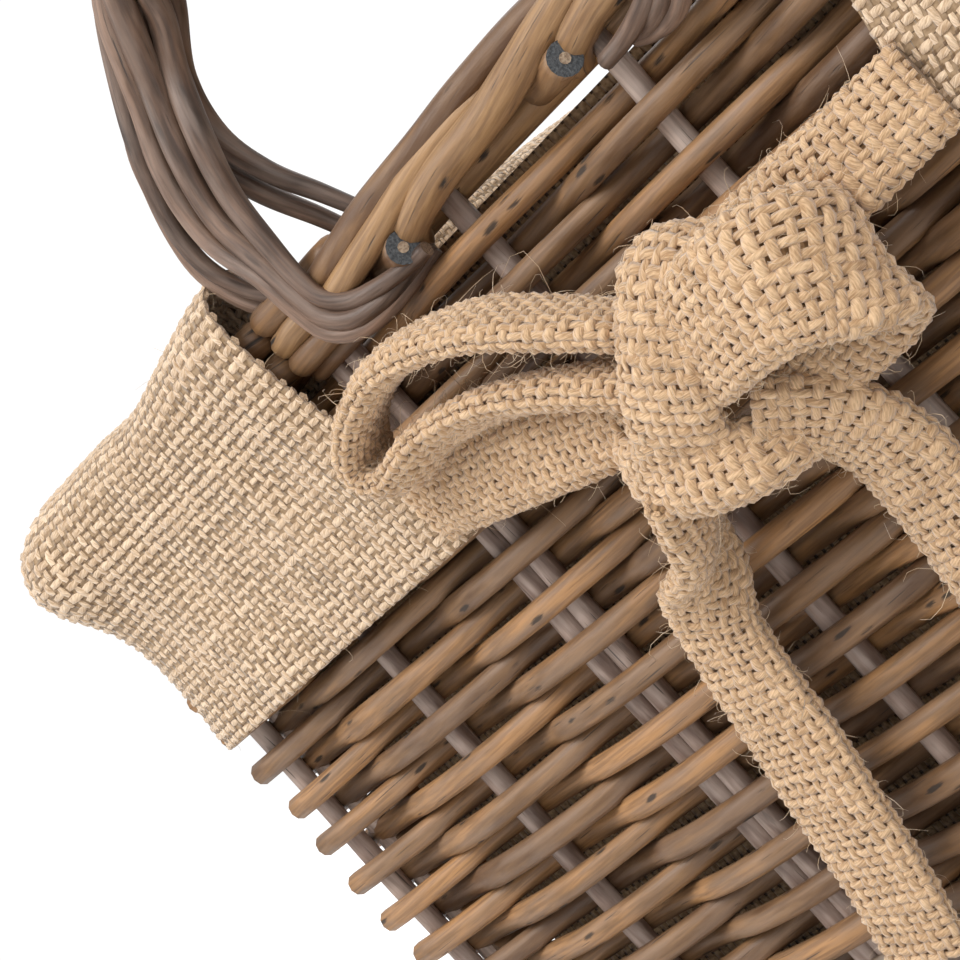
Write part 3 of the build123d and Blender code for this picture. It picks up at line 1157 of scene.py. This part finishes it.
@dataclass
class Weaver:
    """Lays real yarns over a surface in plain weave."""

    pitch: float = 1.56
    row_pitch: float = 1.95
    fill: float = 0.385
    flat: float = 0.74
    crimp: float = 0.31
    sides: int = 5

    def run(self, surface: Surface, count: int, cross: int, lengthwise: bool,
            rng: np.random.Generator, span: Tuple[float, float], shift: int) -> List[Tube]:
        """Lay one set of yarns.

        Args:
            surface: cloth surface.
            count: number of yarns.
            cross: number of yarns that each one crosses.
            lengthwise: true for yarns along v.
            rng: seeded generator.
            span: part of u that is covered.
            shift: 0 or 1, which set starts on top.

        Returns:
            One tube per yarn.
        """
        rings = 2 * cross + 1
        s = np.linspace(0, 1, rings)
        tubes = []
        swing = np.sin(np.pi * (np.arange(rings)) / 2 * 1.0)
        for k in range(count):
            sway = (wander(rng, rings, 0.16, max(3, cross // 3)) + rng.uniform(-0.08, 0.08)) / count
            here = (k + 0.5) / count + sway
            if lengthwise:
                u, v = span[0] + (span[1] - span[0]) * here, s
            else:
                u, v = span[0] + (span[1] - span[0]) * s, here
            spot = surface.at(surface.grid, u, v)
            normal = unit(surface.at(surface.normal, u, v))
            sign = 1.0 if (k + shift) % 2 else -1.0
            fat = (1 + wander(rng, rings, 0.18, max(3, cross // 2))) * rng.uniform(0.9, 1.1)
            if lengthwise:
                apart = surface.at(surface.rate_u, u, v)[:, 0] * (span[1] - span[0]) / count
            else:
                apart = surface.at(surface.rate_v, u, v)[:, 0] / count
            wide = np.clip(self.fill * apart, 0.32, 0.92) * fat
            spot = spot + normal * (sign * self.crimp * swing)[:, None]
            tubes.append(Tube(spot, wide, self.flat * wide, normal, tint=float(rng.uniform(0, 1)),
                              twist=0.13))
        return tubes

    def weave(self, name: str, surface: Surface, seed: int,
              span: Tuple[float, float] = (0.0, 1.0)) -> List[bpy.types.Object]:
        """Weave a surface and return the two yarn pieces.

        Args:
            name: start of the piece names.
            surface: cloth surface.
            seed: random seed.
            span: part of u that is covered.

        Returns:
            The weft piece and the warp piece.
        """
        rng = np.random.default_rng(seed)
        len_u, len_v = surface.lengths()
        len_u *= span[1] - span[0]
        across = max(4, 2 * round(len_u / self.pitch / 2))
        along = max(4, round(len_v / self.row_pitch))
        weft = self.run(surface, along, across, False, rng, span, 0)
        warp = self.run(surface, across, along, True, rng, span, 1)
        made = [TubeMesher(self.sides, 2 * across + 1).build(name + "_weft", weft),
                TubeMesher(self.sides, 2 * along + 1).build(name + "_warp", warp)]
        return made


def stray_fibres(name: str, surface: Surface, count: int, seed: int, reach: float = 1.0
                 ) -> bpy.types.Object:
    """Scatter loose curly fibres that stand off a surface.

    Args:
        name: object name.
        surface: cloth that they come from.
        count: number of fibres.
        seed: random seed.
        reach: length of a fibre against the usual.

    Returns:
        The new object.
    """
    rng = np.random.default_rng(seed)
    rings = 5
    t = np.linspace(0, 1, rings)[:, None]
    tubes = []
    u, v = rng.uniform(0.0, 1.0, count), rng.uniform(0.0, 1.0, count)
    spots = surface.at(surface.grid, u, v)
    normals = unit(surface.at(surface.normal, u, v))
    for spot, normal in zip(spots, normals):
        length = reach * rng.uniform(1.4, 3.6) * (2.2 if rng.uniform() < 0.12 else 1.0)
        flat = rng.normal(0, 1, 3)
        flat = unit(flat - flat.dot(normal) * normal)
        across = np.cross(normal, flat)
        sweep = rng.uniform(0.6, 2.6) * rng.choice([-1, 1])
        lift = rng.uniform(0.08, 0.3) if rng.uniform() < 0.6 else rng.uniform(0.3, 0.8)
        line = (spot + normal * 0.15 + length * np.sin(sweep * t) / sweep * flat
                + length * (1 - np.cos(sweep * t)) / sweep * across * 0.8
                + normal * length * lift * np.sin(t * rng.uniform(1.4, 2.8)))
        size = np.linspace(0.052, 0.024, rings) * rng.uniform(0.7, 1.3)
        tubes.append(Tube(line, size, size, np.tile(across + 0.01, (rings, 1)), float(rng.uniform(0, 1))))
    return TubeMesher(3, rings).build(name, tubes)


@dataclass
class Cuff:
    """The turned-down hessian at one end of the basket."""

    finishes: Finishes
    side: Side
    profile: Tuple[Tuple[float, float], ...] = (
        (-7.0, 134.0), (-7.1, 146.0), (-5.6, 151.2), (-1.0, 153.7), (3.6, 153.5), (7.3, 150.6),
        (8.6, 145.0), (8.3, 133.0), (7.6, 121.0), (7.5, 110.0), (7.3, 101.6))
    corner_x: float = 127.0
    corner_y: float = 89.0
    round_r: float = 6.0
    gap_top: float = 64.5
    gap_low: float = 52.5

    def surface(self) -> Surface:
        """Return the cuff's surface."""
        nu, nv = 181, 41
        prof = smooth_path([(d, z, 0.0) for d, z in self.profile], nv)
        front = self.corner_x - 60.0
        bend = 0.5 * math.pi * 16.0
        total = 2 * front + 2 * bend + 2 * self.corner_y
        s = np.linspace(0, total, nu)
        grid = np.zeros((nu, nv, 3))
        rng = np.random.default_rng(11 if self.side is Side.FRONT else 12)
        ripples = [(rng.uniform(0, 6.28), rng.uniform(0, 6.28), rng.uniform(14, 40), rng.uniform(-0.9, 0.9))
                   for _ in range(5)]
        for j, (d0, z0, _) in enumerate(prof):
            outside = np.clip((d0 - 2) / 5.0, 0, 1)
            tall = np.clip((z0 - 122) / 24.0, 0, 1)
            for i, run in enumerate(s):
                near_corner = min(abs(run - front - bend / 2), abs(run - total + front + bend / 2))
                puff = 6.8 * outside * math.exp(-((z0 - 143) / 10.5) ** 2 - (near_corner / 17.0) ** 2)
                near_gap = min(run, total - run)
                d = d0 + puff
                for a, _, wave, tilt in ripples:
                    d += 0.16 * outside * math.sin(run / wave * 6.28 + a + tilt * z0 / 9)
                d += outside * 1.1 * math.sin(math.pi * np.clip((run - front - bend) / (2 * self.corner_y),
                                                                0, 1)) * tall
                z = z0 + 0.5 * math.sin(run / 47.0 + 1.3) * (z0 < 115)
                flare = 4.0 * math.exp(-(near_gap / 22.0) ** 2) - 1.1 * math.exp(-((near_gap
                                                                                    - 37) / 9.0) ** 2)
                z += flare * np.clip((z0 - 142) / 9.0, 0, 1)
                hem = max(0.0, 1 - (z0 - 101.6) / 7.0) if outside > 0.5 else 0.0
                d += 0.5 * min(1.0, 3 * hem)
                edge = self.gap_top + (self.gap_low - self.gap_top) * np.clip((152 - z0) / 50, 0, 1) * outside
                grid[i, j] = self.plan(run, d, front, bend, total, edge, z)
        if self.side is Side.BACK:
            grid = turn_half(grid)
        return Surface(grid, flip=True)

    def plan(self, run: float, d: float, front: float, bend: float, total: float, edge: float,
             z: float) -> Tuple[float, float, float]:
        """Place one point of the cuff by its run round the rim.

        Args:
            run: distance round the rim.
            d: distance outward.
            front: length of the front stretch.
            bend: length of a corner.
            total: whole length round the rim.
            edge: where the cloth stops short of the handle.
            z: height.

        Returns:
            The point.
        """
        back = run > total / 2
        if back:
            run = total - run
        radius = max(0.3, self.round_r + d)
        if run < front:
            x = -edge - (self.corner_x - edge) * run / front
            y = -self.corner_y - radius
        elif run < front + bend:
            angle = (run - front) / bend * math.pi / 2
            x = -self.corner_x - radius * math.sin(angle)
            y = -self.corner_y - radius * math.cos(angle)
        else:
            x = -self.corner_x - radius
            y = -self.corner_y + (run - front - bend)
        return x, (-y if back else y), z

    def build(self) -> bpy.types.Object:
        """Build the cloth, its yarns and its stray fibres."""
        word = "left" if self.side is Side.FRONT else "right"
        surface = self.surface()
        far = {"front": "back", "back": "front"}
        nodes = []
        for part in ("front", "end", "back"):
            named = part if self.side is Side.FRONT else far.get(part, part)
            nodes += [f"{word}_{named}_rim_cover", f"{word}_{named}_skirt"]
        cloth = place(surface.sheet(word + "_cuff", 0.42), Body.LINING,
                      [self.finishes.core], nodes)
        weaver = Weaver()
        spans = ((0.0, 0.24), (0.24, 0.5), (0.5, 0.76), (0.76, 1.0))
        for k, span in enumerate(spans):
            for piece in weaver.weave(f"{word}_cuff_{k + 1}", surface, 900 + k, span):
                place(piece, Body.LINING, [self.finishes.jute] * 2)
        place(stray_fibres(word + "_cuff_fuzz", surface, 2400, 5, 1.45), Body.LINING,
                           [self.finishes.fuzz] * 2)
        len_u, len_v = surface.lengths()
        LOG.info("%s cuff flat %.0f x %.0f mm", word, len_u, len_v)
        return cloth


@dataclass
class Ribbon:
    """One run of the bow: a soft folded band along a path.

    Attributes:
        name: what the run is.
        path: centre points.
        wide: direction across the band at each point.
        width: band width at each point.
        thick: band thickness at each point.
    """

    name: str
    path: Sequence[Tuple[float, float, float]]
    wide: Sequence[Tuple[float, float, float]]
    width: Sequence[float]
    thick: Sequence[float]

    def surface(self, side: Side, seed: int) -> Surface:
        """Return the band's closed surface.

        Args:
            side: which long wall.
            seed: random seed.

        Returns:
            The surface.
        """
        length = float(np.linalg.norm(np.diff(np.array(self.path), axis=0), axis=1).sum())
        nv = max(13, int(length / 1.6))
        nu, fine = 33, 129
        rows = np.array([(*p, *w, a, b) for p, w, a, b in zip(self.path, self.wide, self.width, self.thick)])
        data = smooth_path(rows, nv)
        rng = np.random.default_rng(seed)
        along = unit(np.gradient(data[:, :3], axis=0))
        wide = unit(data[:, 3:6] - (data[:, 3:6] * along).sum(1, keepdims=True) * along)
        deep = np.cross(along, wide)
        angle = np.linspace(0, 2 * np.pi, fine)
        c = np.sign(np.cos(angle)) * np.abs(np.cos(angle)) ** 0.85
        s = np.sign(np.sin(angle)) * np.abs(np.sin(angle)) ** 0.75
        dents = [wander(rng, nv, 0.35, max(3, nv // 9)) for _ in range(4)]
        ring = np.zeros((fine, nv, 3))
        for i in range(fine):
            bulge = sum(dents[m] * math.sin((m + 1) * angle[i] + m) for m in range(4))
            half = data[:, 6] / 2 + bulge * 0.6
            depth = data[:, 7] / 2 + bulge * 0.5
            ring[i] = data[:, :3] + wide * (half * c[i])[:, None] + deep * (depth * s[i])[:, None]
        ring[-1] = ring[0]
        grid = np.zeros((nu, nv, 3))
        for j in range(nv):
            gone = np.concatenate([[0], np.cumsum(np.linalg.norm(np.diff(ring[:, j], axis=0), axis=1))])
            want = np.linspace(0, gone[-1], nu)
            grid[:, j] = np.stack([np.interp(want, gone, ring[:, j, k]) for k in range(3)], axis=1)
        if side is Side.BACK:
            grid = turn_half(grid)
        surface = Surface(grid, closed=True)
        middle = grid[:-1].mean(0)
        facing = ((grid - middle) * surface.normal).sum(2).mean()
        if facing < 0:
            surface = Surface(grid, closed=True, flip=True)
        return surface


def bow_runs() -> List[Ribbon]:
    """Return every run of the front bow."""
    up = (0.0, 0.0, 1.0)
    return [
        Ribbon("left_tie",
               [(-56, -103.6, 110.3), (-50, -105.6, 110.3), (-40, -108.2, 108.5), (-25, -110.5, 105.5),
                (-10, -112.5, 102), (6, -114.5, 100)],
               [up, up, (0, 0.1, 1), (0, 0.2, 1), (0, 0.2, 1), up],
               [13.6, 13.6, 13.6, 13.4, 13, 11], [3.0, 3.8, 4.4, 4.8, 5.0, 5.5]),
        Ribbon("right_tie",
               [(58, -103.6, 107), (52, -105.4, 106.8), (44, -107.6, 106.4), (36, -108.6, 106.6),
                (24, -110.5, 106), (10, -113, 103)],
               [up, up, (0, 0.1, 1), (0, 0.2, 1), up, up],
               [12.6, 12.8, 13, 12.8, 12, 11], [3.0, 3.8, 4.4, 4.8, 5.2, 5.5]),
        Ribbon("left_loop",
               [(10, -114, 106), (0, -115.5, 115), (-13, -115.5, 123.5), (-28, -114.5, 128),
                (-42, -113, 126.5), (-49.8, -112, 121), (-46, -112, 115.8), (-34, -112.8, 116.3),
                (-20, -113.8, 113.8), (-6, -115, 107.5), (6, -115.5, 100)],
               [(0.2, -1, 0.1), (0.1, -1, 0), (0, -1, 0), (0, -1, 0), (0, -1, -0.1), (0, -1, 0),
                (0, -1, 0.2), (0, -1, 0.3), (0, -1, 0.35), (0, -1, 0.3), (0, -1, 0.1)],
               [9, 12, 13, 13, 12.5, 12, 12.5, 13, 13, 12, 9],
               [5.5, 4.6, 4.2, 4.2, 4.2, 4.2, 4.2, 4.2, 4.4, 4.8, 5.5]),
        Ribbon("right_loop",
               [(9, -117, 100.5), (17, -119.8, 101.8), (25.5, -121.6, 102.8), (33.5, -122.0, 102.4),
                (38.4, -119.8, 100.4), (40.2, -116.2, 97.8), (38.8, -112.8, 95.0), (34.4, -111.4, 92.6),
                (26, -111.8, 91.2), (17, -113.4, 91.0)],
               [up, (0, 0.15, 1), (0, 0.2, 1), (0.1, 0.15, 1), (0.12, 0.1, 1), (0.1, 0, 1), (0.1, -0.1, 1),
                (0.1, -0.2, 1), (0.1, -0.1, 1), up],
               [12, 16, 18, 18.5, 19, 19, 18.5, 16.5, 14, 11],
               [5.5, 5.8, 6.2, 6.6, 6.8, 6.8, 6.4, 6.0, 5.8, 5.5]),
        Ribbon("knot",
               [(20.6, -107.6, 108), (21.6, -112.6, 112.2), (19.4, -117.6, 111.6), (14.6, -121.0, 105.6),
                (9.4, -121.8, 99), (4.2, -119.6, 93), (-2.0, -115.5, 88.5), (-5.5, -111.0, 87)],
               [(1, 0.2, -0.4), (1, 0.1, -0.5), (1, 0, -0.5), (1, 0, -0.45), (1, 0, -0.4),
                (1, 0.1, -0.4), (1, 0.2, -0.5), (1, 0.3, -0.6)],
               [11, 12, 12.5, 12.5, 13, 13.5, 13, 12], [4.6, 5.0, 5.4, 5.4, 5.2, 5.2, 5.0, 5.0]),
        Ribbon("knot_wrap",
               [(-8.5, -110.0, 96.5), (-8.0, -114.6, 95.2), (-3.6, -118.6, 92.2), (3.5, -120.6, 89.0),
                (10.5, -119.0, 86.4), (15.5, -114.6, 85.2), (16.5, -110.0, 86.0)],
               [(0.3, 0, 1), (0.3, 0, 1), (0.35, 0, 1), (0.35, 0.1, 1), (0.3, 0.1, 1), (0.2, 0, 1),
                (0.2, 0, 1)],
               [8.5, 9.5, 10.5, 10.5, 9.8, 8.8, 8.0], [4.2, 4.6, 4.8, 4.8, 4.8, 4.6, 4.2]),
        Ribbon("left_tail",
               [(-2, -116.5, 90), (-9, -113.0, 84), (-17, -109.2, 78.5), (-23.5, -107.4, 71),
                (-27, -106.8, 60), (-29, -106.6, 48), (-31.5, -106.4, 36), (-34.5, -106.2, 24),
                (-38, -106.0, 13)],
               [(0.8, 0, 0.6), (0.75, 0, 0.65), (0.8, 0.1, 0.6), (0.95, 0.1, 0.3), (1, 0, 0.15), (1, 0, 0.1),
                (1, 0, 0.15), (1, 0, 0.2), (1, 0, 0.25)],
               [14, 13.5, 13, 12, 13.5, 14.5, 14.5, 14, 13.5], [5.5, 5.2, 5, 5, 4.2, 4.0, 4.0, 3.8, 3.6]),
        Ribbon("right_tail",
               [(14, -117, 90), (20, -113, 84), (21.5, -109.5, 76), (20, -107.2, 66), (18, -106.6, 54),
                (17, -106.4, 42), (16.5, -106.2, 31)],
               [(1, 0, 0.5), (1, 0, 0.3), (1, 0.1, 0.1), (1, 0.1, 0), (1, 0, 0), (1, 0, 0), (1, 0, 0)],
               [12, 12, 12.5, 13, 13.5, 13.5, 13], [5.4, 5.0, 4.8, 4.4, 4.0, 4.0, 3.8]),
    ]


@dataclass
class Bow:
    """The hessian bow on one long wall."""

    finishes: Finishes
    side: Side

    def build(self) -> None:
        """Build every run of the bow with its yarns and fibres."""
        word = self.side.name.lower()
        weaver = Weaver(pitch=1.5, row_pitch=1.75, fill=0.43, flat=0.68, crimp=0.31)
        for k, run in enumerate(bow_runs()):
            surface = run.surface(self.side, 40 + k)
            title = f"{word}_bow_{run.name}"
            cloth = place(surface.sheet(title + "_cloth", 0.4), Body.LINING,
                          [self.finishes.bow_core], [title] if run.name != "knot_wrap" else [])
            pieces = [place(p, Body.LINING, [self.finishes.bow] * 2)
                      for p in weaver.weave(title, surface, 60 + k)]
            len_u, len_v = surface.lengths()
            count = int(len_u * len_v * 0.17)
            pieces.append(place(stray_fibres(title + "_fuzz", surface, count, 80 + k, 1.15),
                                Body.LINING, [self.finishes.fuzz] * 2))
            LOG.info("%s flat %.0f x %.0f mm", title, len_u / 2, len_v)


@dataclass
class Lining:
    """The hessian bag inside the basket."""

    finishes: Finishes
    half_x: float = 125.6
    half_y: float = 87.1
    low: float = 10.0
    high: float = 137.0
    corner: float = 4.5
    flare: float = 2.1

    def build(self) -> None:
        """Build the bag from a box with its top open."""
        bm = bmesh.new()
        bmesh.ops.create_cube(bm, size=1.0)
        bmesh.ops.scale(bm, verts=bm.verts, vec=(2 * self.half_x, 2 * self.half_y, self.high - self.low))
        bmesh.ops.translate(bm, verts=bm.verts, vec=(0, 0, (self.high + self.low) / 2))
        top = [f for f in bm.faces if f.normal.z > 0.5]
        bmesh.ops.delete(bm, geom=top, context="FACES")
        sharp = [e for e in bm.edges if not e.is_boundary]
        bmesh.ops.bevel(bm, geom=sharp, offset=self.corner, offset_type="OFFSET", segments=5,
                        profile=0.5, affect="EDGES", material=-1)
        for _ in range(4):
            longer = [e for e in bm.edges if e.calc_length() > 9.0]
            bmesh.ops.subdivide_edges(bm, edges=longer, cuts=1, use_grid_fill=True)
        uv = bm.loops.layers.uv.new("cloth")
        for vert in bm.verts:
            x, y, z = vert.co
            sag = 0.55 * math.sin(x / 9.0 + z / 31.0) * math.sin(y / 8.0 + 1.0 + z / 23.0)
            inward = Vector((-x / self.half_x, -y / self.half_y, 0.0))
            open_out = self.flare * min(1.0, max(0.0, (z - 112.0) / 20.0)) ** 2
            vert.co += inward * (0.6 + 0.8 * abs(sag) - open_out)
        for face in bm.faces:
            face.smooth = True
            n = face.normal
            for loop in face.loops:
                x, y, z = loop.vert.co
                if abs(n.z) > 0.7:
                    loop[uv].uv = (x, y)
                else:
                    loop[uv].uv = (x, z) if abs(n.y) > abs(n.x) else (y, z)
        bmesh.ops.scale(bm, verts=bm.verts, vec=(MM, MM, MM))
        mesh = bpy.data.meshes.new("lining_bag")
        bm.to_mesh(mesh)
        bm.free()
        piece = bpy.data.objects.new("lining_bag", mesh)
        bpy.context.scene.collection.objects.link(piece)
        place(piece, Body.LINING, [self.finishes.lining],
              ["lining_floor", "lining_front", "lining_back", "lining_left", "lining_right"])


# ------------------------------------------------------------------ studio
@dataclass
class Studio:
    """Camera, floor and soft light."""

    eye: Tuple[float, float, float] = (233.3, -380.7, 107.5)
    lens: float = 100.2
    across: Tuple[float, float] = (0.743, -0.669)
    upward: Tuple[float, float] = (0.669, 0.743)

    def camera(self) -> None:
        """Place the camera level and rolled, looking at a corner."""
        data = bpy.data.cameras.new("camera")
        data.lens = self.lens
        data.sensor_width = 36.0
        data.clip_start = 0.01
        camera = bpy.data.objects.new("camera", data)
        half = math.sqrt(0.5)
        right, top = Vector((half, half, 0)), Vector((0, 0, 1))
        x = (right * self.across[0] + top * self.across[1]).normalized()
        y = (right * self.upward[0] + top * self.upward[1]).normalized()
        z = x.cross(y)
        turn = Matrix((x, y, z)).transposed().to_4x4()
        camera.matrix_world = Matrix.Translation(Vector(self.eye) * MM) @ turn
        bpy.context.scene.collection.objects.link(camera)
        bpy.context.scene.camera = camera

    @staticmethod
    def light(name: str, spot: Tuple[float, float, float], size: float, power: float) -> None:
        """Aim one square soft light at the basket.

        Args:
            name: lamp name.
            spot: place in metres.
            size: side of the square in metres.
            power: power in watts.
        """
        data = bpy.data.lights.new(name, "AREA")
        data.shape = "SQUARE"
        data.size = size
        data.energy = power
        lamp = bpy.data.objects.new(name, data)
        lamp.location = spot
        aim = Vector((0, 0, 0.1)) - Vector(spot)
        lamp.rotation_euler = aim.to_track_quat("-Z", "Y").to_euler()
        bpy.context.scene.collection.objects.link(lamp)

    def build(self) -> None:
        """Build the floor, the lights and the camera."""
        bm = bmesh.new()
        bmesh.ops.create_grid(bm, x_segments=2, y_segments=2, size=6.0)
        mesh = bpy.data.meshes.new("floor")
        bm.to_mesh(mesh)
        bm.free()
        floor = bpy.data.objects.new("floor", mesh)
        bpy.context.scene.collection.objects.link(floor)
        material = bpy.data.materials.new("Pale floor")
        material.use_nodes = True
        shader = material.node_tree.nodes["Principled BSDF"]
        shader.inputs["Base Color"].default_value = (0.80, 0.80, 0.80, 1)
        shader.inputs["Roughness"].default_value = 0.9
        shader.inputs["Emission Color"].default_value = (1, 1, 1, 1)
        graph = Graph(material.node_tree)
        seen = graph.node("ShaderNodeLightPath").outputs["Is Camera Ray"]
        graph.link(graph.math("MULTIPLY", seen, 0.55), shader.inputs["Emission Strength"])
        mesh.materials.append(material)
        floor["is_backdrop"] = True
        self.light("key", (-0.08, -0.62, 0.80), 0.5, 5.2)
        self.light("side", (-1.1, -0.9, 1.1), 0.9, 6)
        self.light("fill", (1.3, -0.8, 1.0), 1.2, 8.5)
        self.light("back", (-0.6, 1.3, 1.2), 1.2, 8)
        world = bpy.data.worlds.new("studio")
        world.use_nodes = True
        graph = Graph(world.node_tree)
        backing = world.node_tree.nodes["Background"]
        seen = graph.node("ShaderNodeLightPath").outputs["Is Camera Ray"]
        strength = graph.math("ADD", graph.math("MULTIPLY", seen, 0.45), 0.6)
        graph.link(strength, backing.inputs[1])
        backing.inputs[0].default_value = (1, 1, 1, 1)
        bpy.context.scene.world = world
        bpy.context.scene.view_settings.view_transform = "Standard"
        self.camera()


def main() -> None:
    """Build the whole object."""
    logging.basicConfig(level=logging.INFO, format="%(message)s")
    Studio().build()
    finishes = Finishes()
    Wicker(finishes).build()
    for side in Side:
        Handle(finishes, side).build()
        Cuff(finishes, side).build()
        Bow(finishes, side).build()
    Lining(finishes).build()
    corners = [sum(len(f.vertices) - 2 for f in p.data.polygons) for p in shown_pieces() if p.type == "MESH"]
    LOG.info("triangles in all %d, largest piece %d", sum(corners), max(corners))


if __name__ == "__main__":
    main()
